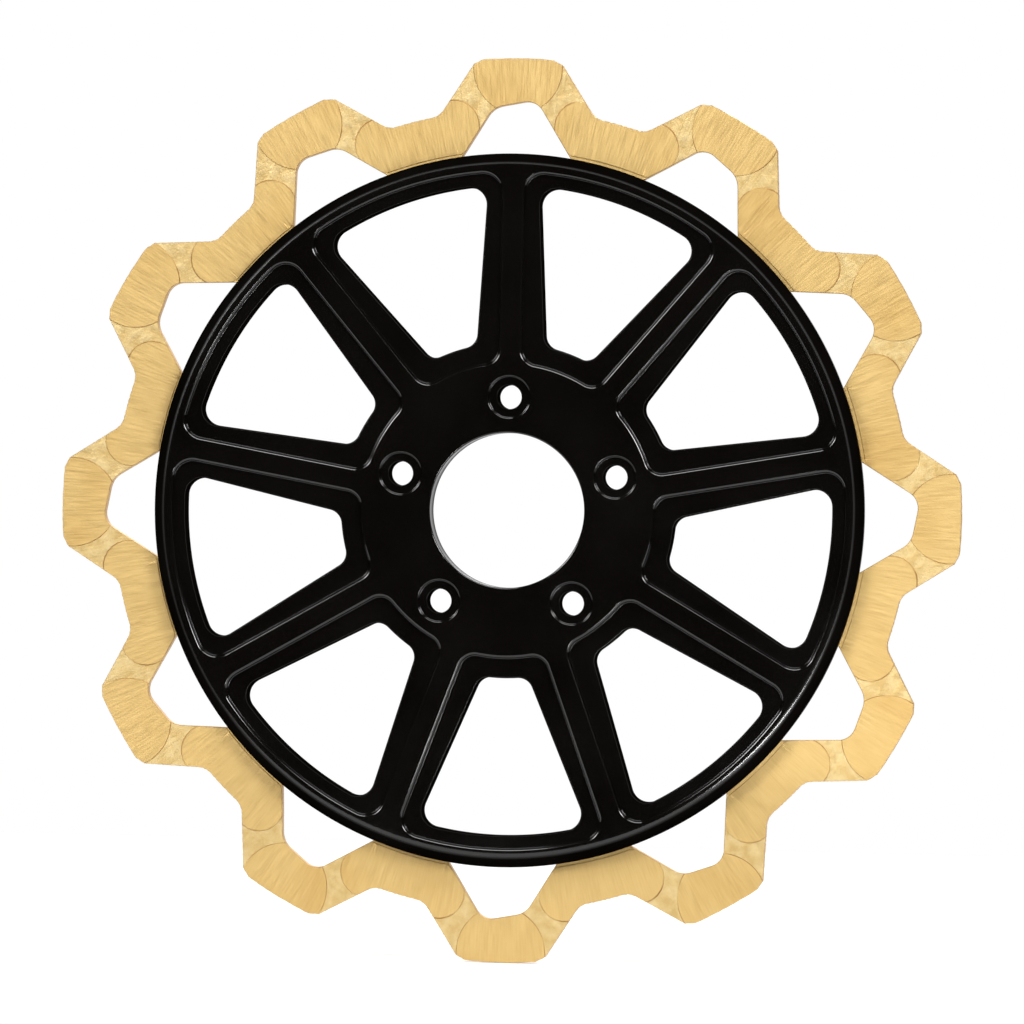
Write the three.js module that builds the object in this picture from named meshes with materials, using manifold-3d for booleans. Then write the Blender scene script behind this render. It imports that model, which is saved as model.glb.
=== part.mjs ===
// A floating front brake rotor for a motorcycle. A waved steel friction ring sits behind the rim
// of a nine-spoke billet aluminium carrier. Twelve drive bobbins run in slots in the ring's ears,
// and each bobbin is held by a wave washer, a retaining washer and a screw from the rear.
//
// Millimetres. The rotor stands upright on its edge: the spin axis is Y, the outboard face looks
// along -Y, +Z is up, and the origin is on the spin axis at mid depth.
// Every shape is drawn in the face frame: x to the right, y up, and z outboard, with z = 0 on the
// middle plane of the friction ring. The outermost group turns the face frame upright.

import * as THREE from "three";
import { mergeVertices } from "three/addons/utils/BufferGeometryUtils.js";
import Module from "manifold-3d";

const wasm = await Module();
wasm.setup();

// Clearance kept between neighbouring pieces.
const GAP = 0.3;

// Friction ring: twelve trapezoid lobes joined by concentric valleys.
const LOBES = 12;
const LOBE_PITCH = (2 * Math.PI) / LOBES;
const RING_RADIUS = 165;
const RING_THICKNESS = 5;
const LOBE_TOP_HALF_WIDTH = 12.8;
const FACET_END = new THREE.Vector2(16.3, 162.7);
const FLANK_ANGLE = THREE.MathUtils.degToRad(32.5);
const VALLEY_RADIUS = 146.2;
const VALLEY_ROUND = 7;

// The cut-out inside each lobe. Its crown slopes, and the slope changes hand from lobe to lobe.
const CUTOUT_LOW_CORNER = new THREE.Vector2(-8.8, 146.8);
const CUTOUT_HIGH_CORNER = new THREE.Vector2(6.85, 149.8);
const CUTOUT_LOW_ROUND = 8;
const CUTOUT_HIGH_ROUND = 6.5;
const CUTOUT_SIDE_ANGLE = THREE.MathUtils.degToRad(31.55);

// The ears between the cut-outs, which reach in behind the carrier's rim.
const EAR_RELIEF_RADIUS = 131.3;
const EAR_RELIEF_DEPTH = 0.5;
const EAR_SHOULDER_RADIUS = 128.5;
const EAR_END_RADIUS = 121.6;
const EAR_CORNER_ROUND = 2.5;
const SHOULDER_ROUND = 1.5;

// Shallow clearance pockets across every flank, left between the raised ends of the pad track.
const POCKET_DEPTH = 0.3;
const LOBE_LAND_CENTRE = new THREE.Vector2(0, 161.3);
const LOBE_LAND_RADIUS = 16.5;
const VALLEY_LAND_CENTRE = new THREE.Vector2(22.7, 140.3);
const VALLEY_LAND_RADIUS = 9.2;
const POCKET_OUTLINE = [
  new THREE.Vector2(27, 148),
  new THREE.Vector2(17.5, 165),
  new THREE.Vector2(5, 146),
  new THREE.Vector2(12, 137),
];

// Drive stations, one at the middle of every ear.
const STATION_RADIUS = 125.2;
const BOBBIN_RADIUS = 4;
const SLOT_HALF_WIDTH = BOBBIN_RADIUS + GAP;
const SLOT_FLAT = 0.2;
const SLOT_ROUND = SLOT_HALF_WIDTH - SLOT_FLAT / 2;
const WASHER_RADIUS = 5.8;
const WAVE_SHEET = 0.3;
const WAVE_HEIGHT = 0.8;
const WAVES = 3;
const RETAINER_THICKNESS = 1;
const SCREW_RADIUS = 2.5;
const SCREW_REACH = 4.7;
const SCREW_HEAD_RADIUS = 4.75;
const SCREW_HEAD_HEIGHT = 2.75;
const SCREW_CROWN_RADIUS = 2.6125;
const SCREW_SHOULDER_RADIUS = 4.18;
const SCREW_SHOULDER_HEIGHT = 0.6875;
const SOCKET_ACROSS_FLATS = 3;
const SOCKET_DEPTH = 1.6;

// Carrier: a flat plate with a thicker hub seat behind and a stepped rim over the ears.
const RIM_RADIUS = 130;
const RIM_BEVEL = 3.5;
const RIM_BEVEL_DEGREES = [0, 30, 60, 90];
const RABBET_RADIUS = 120.8;
const FLANGE_THICKNESS = 8;
const PLATE_THICKNESS = 10.5;
const BORE_RADIUS = 28.2;
const SEAT_RADIUS = 52;
const SEAT_HEIGHT = 1;

// Nine windows, each inside a lowered ledge that follows it.
const WINDOWS = 9;
const WINDOW_PITCH = (2 * Math.PI) / WINDOWS;
const WINDOW = {
  outerRadius: 118.4,
  innerRadius: 61.1,
  sidePoint: new THREE.Vector2(12.25, 68.85),
  sideAngle: THREE.MathUtils.degToRad(23),
  outerRound: 6.2,
  innerRound: 5.4,
};
const LEDGE = {
  outerRadius: 123.1,
  innerRadius: 53.85,
  sidePoint: new THREE.Vector2(20.73, 69.53),
  sideAngle: THREE.MathUtils.degToRad(20),
  outerRound: 6.8,
  innerRound: 5.8,
};
const LEDGE_DEPTH = 1.8;

// Five bolts fasten the carrier to the wheel hub.
const BOLTS = 5;
const BOLT_CIRCLE_RADIUS = 82.55 / 2;
const BOLT_HOLE_RADIUS = 4.4;
const BOLT_SEAT_RADIUS = 7.6;
const BOLT_SEAT_DEPTH = 1.5;

// Depths along z that follow from the sizes above.
const RING_FRONT = RING_THICKNESS / 2;
const RING_REAR = -RING_FRONT;
const EAR_FRONT = RING_FRONT - EAR_RELIEF_DEPTH;
const FLANGE_REAR = EAR_FRONT + GAP;
const FACE = FLANGE_REAR + FLANGE_THICKNESS;
const PLATE_REAR = FACE - PLATE_THICKNESS;
const SEAT_REAR = PLATE_REAR - SEAT_HEIGHT;
const WAVE_FRONT = RING_REAR - GAP;
const WAVE_REAR = WAVE_FRONT - WAVE_HEIGHT;
const RETAINER_FRONT = WAVE_REAR - GAP;
const RETAINER_REAR = RETAINER_FRONT - RETAINER_THICKNESS;
const HEAD_FRONT = RETAINER_REAR - GAP;
const HEAD_REAR = HEAD_FRONT - SCREW_HEAD_HEIGHT;
const SCREW_TIP = FLANGE_REAR + SCREW_REACH;
const MID_DEPTH = (FACE + HEAD_REAR) / 2;

// Facets: chords per round on drawn outlines, and sides on turned pieces.
const RING_ARC_STEPS = 2;
const CARRIER_ARC_STEPS = 3;
const CARRIER_SIDES = 60;
const FIXING_SIDES = 12;
const WAVE_SIDES = 12;
const LAND_SIDES = 20;
const HOLE_SIDES = 16;
const SOCKET_SIDES = 6;
const OVERCUT = 1;
const WELD_DISTANCE = 1e-4;

// ---- Solids -------------------------------------------------------------------------------

// A closed geometry as a solid, with its shared vertices merged and its collapsed faces dropped.
function toSolid(geometry) {
  const bare = geometry.clone();
  bare.deleteAttribute("normal");
  bare.deleteAttribute("uv");
  const merged = mergeVertices(bare, WELD_DISTANCE);
  const corners = merged.index.array;
  const triVerts = [];
  for (let i = 0; i < corners.length; i += 3) {
    const [a, b, c] = [corners[i], corners[i + 1], corners[i + 2]];
    if (a !== b && b !== c && c !== a) triVerts.push(a, b, c);
  }
  return new wasm.Manifold(
    new wasm.Mesh({
      numProp: 3,
      vertProperties: merged.attributes.position.array,
      triVerts: new Uint32Array(triVerts),
    }),
  );
}

// A solid as a geometry that a THREE.Mesh can hold.
function toGeometry(solid) {
  const { vertProperties, triVerts } = solid.getMesh();
  const geometry = new THREE.BufferGeometry();
  geometry.setAttribute("position", new THREE.BufferAttribute(vertProperties, 3));
  geometry.setIndex(new THREE.BufferAttribute(triVerts, 1));
  geometry.computeVertexNormals();
  return geometry;
}

// A drawn outline carried along z from one depth to another.
function slab(shape, from, to, curveSegments) {
  const geometry = new THREE.ExtrudeGeometry(shape, {
    depth: to - from,
    bevelEnabled: false,
    curveSegments,
  });
  return geometry.translate(0, 0, from);
}

// A profile of [radius, z] points turned about z. Its outer side runs towards +z.
function turned(profile, sides) {
  const points = profile.map(([radius, z]) => new THREE.Vector2(radius, z));
  return new THREE.LatheGeometry(points, sides).rotateX(Math.PI / 2);
}

// A turned ring of rectangular section.
function turnedRing(inner, outer, from, to, sides) {
  const section = [
    [inner, from],
    [outer, from],
    [outer, to],
    [inner, to],
    [inner, from],
  ];
  return turned(section, sides);
}

// A plain round rod along z, centred on x, y.
function rod(x, y, radius, from, to, sides) {
  const geometry = new THREE.CylinderGeometry(radius, radius, to - from, sides);
  return geometry.rotateX(Math.PI / 2).translate(x, y, (from + to) / 2);
}

// A cutter repeated at equal angles about the spin axis and subtracted each time.
function cutAround(body, cutter, count, firstAngle) {
  let left = body;
  for (let i = 0; i < count; i += 1) {
    const angle = firstAngle + (i * 2 * Math.PI) / count;
    left = left.subtract(toSolid(cutter.clone().rotateZ(angle)));
  }
  return left;
}

// ---- Outlines -----------------------------------------------------------------------------

// A closed path through corners of { at, round }, where round is the corner's radius.
function traceCorners(path, corners) {
  corners.forEach(({ at, round }, i) => {
    const before = corners.at(i - 1).at;
    const after = corners[(i + 1) % corners.length].at;
    if (!round) {
      if (i === 0) path.moveTo(at.x, at.y);
      else path.lineTo(at.x, at.y);
      return;
    }
    const back = before.clone().sub(at).normalize();
    const ahead = after.clone().sub(at).normalize();
    const half = Math.acos(THREE.MathUtils.clamp(back.dot(ahead), -1, 1)) / 2;
    const centre = back
      .clone()
      .add(ahead)
      .setLength(round / Math.sin(half))
      .add(at);
    const from = back.clone().multiplyScalar(round / Math.tan(half)).add(at).sub(centre);
    const to = ahead.clone().multiplyScalar(round / Math.tan(half)).add(at).sub(centre);
    path.absarc(centre.x, centre.y, round, from.angle(), to.angle(), back.cross(ahead) > 0);
  });
  path.closePath();
  return path;
}

// The centre of a round of the given radius that touches a straight side and also lies at the
// given distance from the spin axis. The side's normal points to the round's side.
function roundCentre(side, radius, distance) {
  const foot = side.point.clone().addScaledVector(side.normal, radius);
  const along = foot.dot(side.direction);
  const reach = Math.sqrt(along * along - foot.lengthSq() + distance * distance);
  return foot.addScaledVector(side.direction, reach - along);
}

// A window-like opening, symmetric about y: an outer and an inner arc about the spin axis, two
// straight sides that open outwards, and four rounds.
function openingShape({ outerRadius, innerRadius, sidePoint, sideAngle, outerRound, innerRound }) {
  const side = {
    point: sidePoint,
    direction: new THREE.Vector2(Math.sin(sideAngle), Math.cos(sideAngle)),
    normal: new THREE.Vector2(-Math.cos(sideAngle), Math.sin(sideAngle)),
  };
  const outer = roundCentre(side, outerRound, outerRadius - outerRound);
  const inner = roundCentre(side, innerRound, innerRadius + innerRound);
  const touch = -sideAngle;
  const mirror = (angle) => Math.PI - angle;
  const shape = new THREE.Shape();
  shape.absarc(outer.x, outer.y, outerRound, touch, outer.angle(), false);
  shape.absarc(0, 0, outerRadius, outer.angle(), mirror(outer.angle()), false);
  shape.absarc(-outer.x, outer.y, outerRound, mirror(outer.angle()), mirror(touch), false);
  shape.absarc(-inner.x, inner.y, innerRound, mirror(touch), mirror(inner.angle() - Math.PI), false);
  shape.absarc(0, 0, innerRadius, mirror(inner.angle()), inner.angle(), true);
  shape.absarc(inner.x, inner.y, innerRound, inner.angle() - Math.PI, touch, false);
  shape.closePath();
  return shape;
}

// A point turned about the spin axis.
function spun(x, y, angle) {
  return new THREE.Vector2(x, y).rotateAround(new THREE.Vector2(), angle);
}

// A straight side through a point that leans away from the y direction as it goes inwards.
function leaningSide(point, lean) {
  return {
    point,
    direction: new THREE.Vector2(-Math.sin(lean), Math.cos(lean)),
    normal: new THREE.Vector2(Math.cos(lean), Math.sin(lean)),
  };
}

// The outside of the friction ring, lobe after lobe, counter-clockwise.
function ringOutline() {
  const flank = leaningSide(FACET_END, FLANK_ANGLE);
  const valley = roundCentre(flank, VALLEY_ROUND, VALLEY_RADIUS + VALLEY_ROUND);
  const valleyAngle = valley.angle();
  const topAngle = Math.acos(LOBE_TOP_HALF_WIDTH / RING_RADIUS);
  const shape = new THREE.Shape();
  for (let i = 0; i < LOBES; i += 1) {
    const turn = i * LOBE_PITCH;
    const right = spun(valley.x, valley.y, turn);
    const left = spun(-valley.x, valley.y, turn);
    const rightFacet = spun(FACET_END.x, FACET_END.y, turn);
    const leftFacet = spun(-FACET_END.x, FACET_END.y, turn);
    const inwards = valleyAngle - Math.PI;
    const touch = FLANK_ANGLE - Math.PI;
    shape.absarc(right.x, right.y, VALLEY_ROUND, inwards + turn, touch + turn, true);
    shape.lineTo(rightFacet.x, rightFacet.y);
    shape.absarc(0, 0, RING_RADIUS, topAngle + turn, Math.PI - topAngle + turn, false);
    shape.lineTo(leftFacet.x, leftFacet.y);
    shape.absarc(left.x, left.y, VALLEY_ROUND, -FLANK_ANGLE + turn, -valleyAngle + turn, true);
    shape.absarc(0, 0, VALLEY_RADIUS, Math.PI - valleyAngle + turn, valleyAngle + LOBE_PITCH + turn, false);
  }
  shape.closePath();
  return shape;
}

// The inside of the friction ring: an ear with its drive slot, then a cut-out, all the way round.
function ringInside() {
  const cutoutSide = leaningSide(CUTOUT_HIGH_CORNER, CUTOUT_SIDE_ANGLE);
  const shoulder = roundCentre(cutoutSide, 0, EAR_SHOULDER_RADIUS);
  const earSide = shoulder.clone().rotateAround(new THREE.Vector2(), LOBE_PITCH / 2);
  const slotTop = STATION_RADIUS + SLOT_HALF_WIDTH;
  const ear = [
    [-earSide.x, earSide.y, SHOULDER_ROUND],
    [-earSide.x, EAR_END_RADIUS, EAR_CORNER_ROUND],
    [SLOT_HALF_WIDTH, EAR_END_RADIUS, 0],
    [SLOT_HALF_WIDTH, slotTop, SLOT_ROUND],
    [-SLOT_HALF_WIDTH, slotTop, SLOT_ROUND],
    [-SLOT_HALF_WIDTH, EAR_END_RADIUS, 0],
    [earSide.x, EAR_END_RADIUS, EAR_CORNER_ROUND],
    [earSide.x, earSide.y, SHOULDER_ROUND],
  ];
  const corners = [];
  for (let i = 0; i < LOBES; i += 1) {
    const turn = i * LOBE_PITCH;
    const low = { at: CUTOUT_LOW_CORNER.clone(), round: CUTOUT_LOW_ROUND };
    const high = { at: CUTOUT_HIGH_CORNER.clone(), round: CUTOUT_HIGH_ROUND };
    const crown = [high, low];
    if (i % 2 === 1) {
      crown.reverse();
      crown.forEach(({ at }) => {
        at.x = -at.x;
      });
    }
    ear.forEach(([x, y, round]) => {
      corners.push({ at: spun(x, y, turn - LOBE_PITCH / 2), round });
    });
    crown.forEach(({ at, round }) => {
      corners.push({ at: spun(at.x, at.y, turn), round });
    });
  }
  return traceCorners(new THREE.Path(), corners);
}

// ---- Pieces -------------------------------------------------------------------------------

// The friction ring: laser-cut and ground flat, with a relief turned on the front of its ears and
// a clearance pocket across each flank on both faces.
function frictionRing() {
  const outline = ringOutline();
  outline.holes.push(ringInside());
  let ring = toSolid(slab(outline, RING_REAR, RING_FRONT, RING_ARC_STEPS));
  const relief = rod(0, 0, EAR_RELIEF_RADIUS, EAR_FRONT, RING_FRONT + OVERCUT, CARRIER_SIDES);
  ring = ring.subtract(toSolid(relief));
  [
    [RING_FRONT - POCKET_DEPTH, RING_FRONT + OVERCUT],
    [RING_REAR - OVERCUT, RING_REAR + POCKET_DEPTH],
  ].forEach(([from, to]) => {
    const strip = toSolid(slab(new THREE.Shape(POCKET_OUTLINE), from, to, 1));
    const [lobeX, lobeY] = LOBE_LAND_CENTRE.toArray();
    const [valleyX, valleyY] = VALLEY_LAND_CENTRE.toArray();
    const lobeEnd = rod(lobeX, lobeY, LOBE_LAND_RADIUS, from - OVERCUT, to + OVERCUT, LAND_SIDES);
    const valleyEnd = rod(valleyX, valleyY, VALLEY_LAND_RADIUS, from - OVERCUT, to + OVERCUT, LAND_SIDES);
    const pocket = strip.subtract(toSolid(lobeEnd)).subtract(toSolid(valleyEnd));
    const right = toGeometry(pocket);
    const left = toGeometry(pocket.mirror([1, 0, 0]));
    ring = cutAround(ring, right, LOBES, 0);
    ring = cutAround(ring, left, LOBES, 0);
  });
  return ring;
}

// The carrier: turned from plate with a hub seat, a rounded rim and a rabbet for the ears, then
// milled with the windows and their ledges, and drilled for the hub bolts and the ring screws.
function carrier() {
  const bevelCentre = { radius: RIM_RADIUS - RIM_BEVEL, z: FACE - RIM_BEVEL };
  const bevel = RIM_BEVEL_DEGREES.map((degrees) => {
    const angle = THREE.MathUtils.degToRad(degrees);
    return [
      bevelCentre.radius + RIM_BEVEL * Math.cos(angle),
      bevelCentre.z + RIM_BEVEL * Math.sin(angle),
    ];
  });
  const section = [
    [BORE_RADIUS, SEAT_REAR],
    [SEAT_RADIUS, SEAT_REAR],
    [SEAT_RADIUS, PLATE_REAR],
    [RABBET_RADIUS, PLATE_REAR],
    [RABBET_RADIUS, FLANGE_REAR],
    [RIM_RADIUS, FLANGE_REAR],
    ...bevel,
    [BORE_RADIUS, FACE],
    [BORE_RADIUS, SEAT_REAR],
  ];
  const below = SEAT_REAR - OVERCUT;
  const above = FACE + OVERCUT;
  const windowCutter = slab(openingShape(WINDOW), below, above, CARRIER_ARC_STEPS);
  const ledgeCutter = slab(openingShape(LEDGE), FACE - LEDGE_DEPTH, above, CARRIER_ARC_STEPS);
  const boltHole = rod(0, BOLT_CIRCLE_RADIUS, BOLT_HOLE_RADIUS, below, above, HOLE_SIDES);
  const boltSeat = rod(0, BOLT_CIRCLE_RADIUS, BOLT_SEAT_RADIUS, FACE - BOLT_SEAT_DEPTH, above, HOLE_SIDES);
  const blindHole = rod(0, STATION_RADIUS, SCREW_RADIUS + GAP, PLATE_REAR, SCREW_TIP + GAP, FIXING_SIDES);
  let body = toSolid(turned(section, CARRIER_SIDES));
  body = cutAround(body, ledgeCutter, WINDOWS, WINDOW_PITCH / 2);
  body = cutAround(body, windowCutter, WINDOWS, WINDOW_PITCH / 2);
  body = cutAround(body, boltHole, BOLTS, 0);
  body = cutAround(body, boltSeat, BOLTS, 0);
  body = cutAround(body, blindHole, LOBES, LOBE_PITCH / 2);
  return body;
}

// A drive bobbin: the plain sleeve that carries the ring's braking torque into the rim.
function driveBobbin() {
  return turnedRing(SCREW_RADIUS + GAP, BOBBIN_RADIUS, RETAINER_FRONT + GAP, EAR_FRONT, FIXING_SIDES);
}

// A wave washer: a flat ring pressed into three waves, which holds the floating ring quiet.
function waveWasher() {
  const middle = (WAVE_FRONT + WAVE_REAR) / 2;
  const half = WAVE_SHEET / 2;
  const swing = (WAVE_HEIGHT - WAVE_SHEET) / 2;
  const geometry = turnedRing(SLOT_HALF_WIDTH, WASHER_RADIUS, middle - half, middle + half, WAVE_SIDES);
  const place = geometry.attributes.position;
  for (let i = 0; i < place.count; i += 1) {
    const angle = Math.atan2(place.getY(i), place.getX(i));
    place.setZ(i, place.getZ(i) + swing * Math.sin(WAVES * angle));
  }
  return geometry;
}

// A retaining washer, clamped between the bobbin and the screw's head.
function retainingWasher() {
  return turnedRing(SCREW_RADIUS + GAP, WASHER_RADIUS, RETAINER_REAR, RETAINER_FRONT, FIXING_SIDES);
}

// A button-head socket screw, driven from the rear into a blind hole in the rim.
function ringScrew() {
  const profile = [
    [0, HEAD_REAR],
    [SCREW_CROWN_RADIUS, HEAD_REAR],
    [SCREW_SHOULDER_RADIUS, HEAD_REAR + SCREW_SHOULDER_HEIGHT],
    [SCREW_HEAD_RADIUS, HEAD_FRONT - SCREW_SHOULDER_HEIGHT],
    [SCREW_HEAD_RADIUS, HEAD_FRONT],
    [SCREW_RADIUS, HEAD_FRONT],
    [SCREW_RADIUS, SCREW_TIP],
    [0, SCREW_TIP],
  ];
  const socketRadius = SOCKET_ACROSS_FLATS / Math.sqrt(3);
  const socket = rod(0, 0, socketRadius, HEAD_REAR - OVERCUT, HEAD_REAR + SOCKET_DEPTH, SOCKET_SIDES);
  return toGeometry(toSolid(turned(profile, FIXING_SIDES)).subtract(toSolid(socket)));
}

// ---- Assembly -----------------------------------------------------------------------------

const blackPowderCoat = () =>
  new THREE.MeshStandardMaterial({ color: 0x0b0a09, roughness: 0.28, metalness: 0.1 });
const goldNitride = () =>
  new THREE.MeshStandardMaterial({ color: 0xe6c37a, roughness: 0.38, metalness: 0.9 });
const stainlessSteel = () =>
  new THREE.MeshStandardMaterial({ color: 0xb9b9b6, roughness: 0.32, metalness: 1 });
const springSteel = () =>
  new THREE.MeshStandardMaterial({ color: 0x8f8a84, roughness: 0.4, metalness: 1 });

function piece(name, geometry, material) {
  const mesh = new THREE.Mesh(geometry, material);
  mesh.name = name;
  return mesh;
}

const face = new THREE.Group();
face.position.y = MID_DEPTH;
face.rotation.x = Math.PI / 2;
face.add(piece("carrier", toGeometry(carrier()), blackPowderCoat()));
face.add(piece("friction_ring", toGeometry(frictionRing()), goldNitride()));

// One drive station in the middle of each ear, numbered clockwise from the top.
for (let i = 0; i < LOBES; i += 1) {
  const number = String(i + 1).padStart(2, "0");
  const spoke = new THREE.Group();
  spoke.rotation.z = -(i + 0.5) * LOBE_PITCH;
  const station = new THREE.Group();
  station.position.y = STATION_RADIUS;
  station.add(piece(`drive_bobbin_${number}`, driveBobbin(), stainlessSteel()));
  station.add(piece(`wave_washer_${number}`, waveWasher(), springSteel()));
  station.add(piece(`retaining_washer_${number}`, retainingWasher(), stainlessSteel()));
  station.add(piece(`ring_screw_${number}`, ringScrew(), stainlessSteel()));
  spoke.add(station);
  face.add(spoke);
}

const rotor = new THREE.Group();
rotor.name = "brake_disc_rotor";
rotor.add(face);

export default rotor;
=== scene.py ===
"""Floating brake rotor: a gold nitrided steel ring with twelve lobes, carried behind the rim of a
gloss black nine-window aluminium carrier on twelve drive stations.

Sizes are in millimetres on the face drawing: x to the right, y up, z outboard from the middle
plane of the friction ring. rotor_frame() puts them upright, in metres, round the wheel axis.
"""

import math

import bmesh
import bpy
import numpy as np
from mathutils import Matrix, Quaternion, Vector


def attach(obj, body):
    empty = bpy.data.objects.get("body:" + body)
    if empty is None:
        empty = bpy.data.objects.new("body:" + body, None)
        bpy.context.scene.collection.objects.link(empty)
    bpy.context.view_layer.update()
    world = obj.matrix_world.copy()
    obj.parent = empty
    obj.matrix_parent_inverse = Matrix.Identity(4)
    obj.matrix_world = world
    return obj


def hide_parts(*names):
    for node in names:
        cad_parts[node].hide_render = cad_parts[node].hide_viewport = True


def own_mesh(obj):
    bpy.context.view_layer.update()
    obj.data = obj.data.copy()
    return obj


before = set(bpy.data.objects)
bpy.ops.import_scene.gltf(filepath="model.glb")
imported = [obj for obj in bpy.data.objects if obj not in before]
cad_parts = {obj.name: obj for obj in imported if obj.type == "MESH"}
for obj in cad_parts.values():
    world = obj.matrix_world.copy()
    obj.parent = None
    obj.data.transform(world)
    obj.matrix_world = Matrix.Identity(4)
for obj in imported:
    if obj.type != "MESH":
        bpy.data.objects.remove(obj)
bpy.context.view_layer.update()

# ---------------------------------------------------------------------------------------------
# Carrier rim, windows and hub. The real piece is turned and milled from aluminium plate: nine
# windows, each inside a lowered ledge with a rounded step, five counterbored hub-bolt holes,
# a crowned rim, and behind it a rabbet where the ring's ears reach in.
# ---------------------------------------------------------------------------------------------
MID_DEPTH = 1.175
CARRIER_FACE = 10.3
LEDGE_FLOOR = 8.5
PLATE_REAR = -0.2
HUB_REAR = -1.2
FLANGE_REAR = 2.3
RIM_RADIUS = 130.0
RIM_CROWN_START, RIM_CROWN_DROP = 124.7, 3.5
RABBET_RADIUS = 120.8
HUB_FRONT, HUB_SEAT_RADIUS = 51.3, 52.0
BORE_RADIUS, BORE_ROUND = 28.2, 0.6
BORE_FRONT_EDGE, BORE_REAR_EDGE = BORE_RADIUS + 0.9, BORE_RADIUS + 0.5
STEP_ROUND, STEP_HOLLOW, WINDOW_EDGE, EDGE_BREAK, FINE_BREAK = 1.2, 0.25, 0.5, 0.4, 0.3
BOLT_HOLES, BOLT_CIRCLE_RADIUS, BOLT_HOLE_RADIUS = 5, 41.275, 4.4
COUNTERBORE_RADIUS, COUNTERBORE_FLOOR = 7.6, 8.8
STATIONS, STATION_STEP, STATION_RADIUS = 12, 30, 125.2
THREAD_HOLE_RADIUS, THREAD_HOLE_END, DRILL_TIP = 2.8, 7.3, 0.8
WINDOW_SPOKES = 9
HALF_WINDOW_SECTOR = 20


def rotor_frame(x, y, z):
    """Face drawing to the rotor's own frame: x stays x, y becomes Z, and outboard z points along
    -Y, with the middle of the rotor's depth on the origin. The result is in metres."""
    return np.stack(np.broadcast_arrays(x, MID_DEPTH - z, y), axis=-1) * 0.001


def spun(points, degrees):
    """Points of the rotor turned clockwise about the wheel axis, as the face is seen."""
    angle = math.radians(degrees)
    turned = points.copy()
    turned[..., 0] = points[..., 0] * math.cos(angle) + points[..., 2] * math.sin(angle)
    turned[..., 2] = points[..., 2] * math.cos(angle) - points[..., 0] * math.sin(angle)
    return turned


def lattice(rows, columns, loop_rows, loop_columns):
    """Quads of a grid of points: point (i, j) is joined to (i + 1, j), (i + 1, j + 1) and
    (i, j + 1), and a looped direction joins its last line to its first."""
    number = np.arange(rows * columns).reshape(rows, columns)
    if loop_rows:
        number = np.concatenate([number, number[:1]], axis=0)
    if loop_columns:
        number = np.concatenate([number, number[:, :1]], axis=1)
    corners = [number[:-1, :-1], number[1:, :-1], number[1:, 1:], number[:-1, 1:]]
    return np.stack(corners, axis=-1).reshape(-1, 4)


def machined_piece(name, patches, material, body, node, sharp_degrees=32, marks=None):
    """One closed mesh from grids of points. Each patch is (points, loop_rows, loop_columns).
    Points that coincide are merged, faces are turned outwards, and edges that turn by more than
    sharp_degrees stay crisp. marks are named values per point, one array for each patch."""
    points, quads, offset = [], [], 0
    for grid, loop_rows, loop_columns in patches:
        points.append(grid.reshape(-1, 3))
        quads.append(lattice(*grid.shape[:2], loop_rows, loop_columns) + offset)
        offset += grid.shape[0] * grid.shape[1]
    mesh = bpy.data.meshes.new(name)
    mesh.from_pydata(np.concatenate(points), [], np.concatenate(quads).tolist())
    for mark, values in (marks or {}).items():
        layer = mesh.attributes.new(mark, "FLOAT", "POINT")
        layer.data.foreach_set("value", np.concatenate(values).astype(np.float32))
    shell = bmesh.new()
    shell.from_mesh(mesh)
    bmesh.ops.remove_doubles(shell, verts=shell.verts, dist=2e-6)
    bmesh.ops.recalc_face_normals(shell, faces=shell.faces)
    shell.to_mesh(mesh)
    shell.free()
    mesh.shade_smooth()
    mesh.set_sharp_from_angle(angle=math.radians(sharp_degrees))
    mesh.materials.append(material)
    piece = bpy.data.objects.new(name, mesh)
    bpy.context.scene.collection.objects.link(piece)
    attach(piece, body)
    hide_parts(node)
    return piece


def bow(centre, radius, start, stop, steps, inwards=False):
    """Arc points from one angle to another without the last, and the normals that look away from
    the arc's centre, or towards it where inwards."""
    angle = np.linspace(start, stop, steps + 1)[:-1]
    out = np.stack([np.cos(angle), np.sin(angle)], axis=-1)
    return np.asarray(centre) + radius * out, -out if inwards else out


def round_centre(point, lean, radius, distance):
    """Centre of a round inside a straight side: the side passes through the point and leans
    outwards from y; the centre is one radius off it and at the given distance from the axis."""
    along = np.array([math.sin(lean), math.cos(lean)])
    off = np.array([-math.cos(lean), math.sin(lean)])
    foot = np.asarray(point) + radius * off
    reach = foot @ along
    return foot + (math.sqrt(reach**2 - foot @ foot + distance**2) - reach) * along


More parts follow.
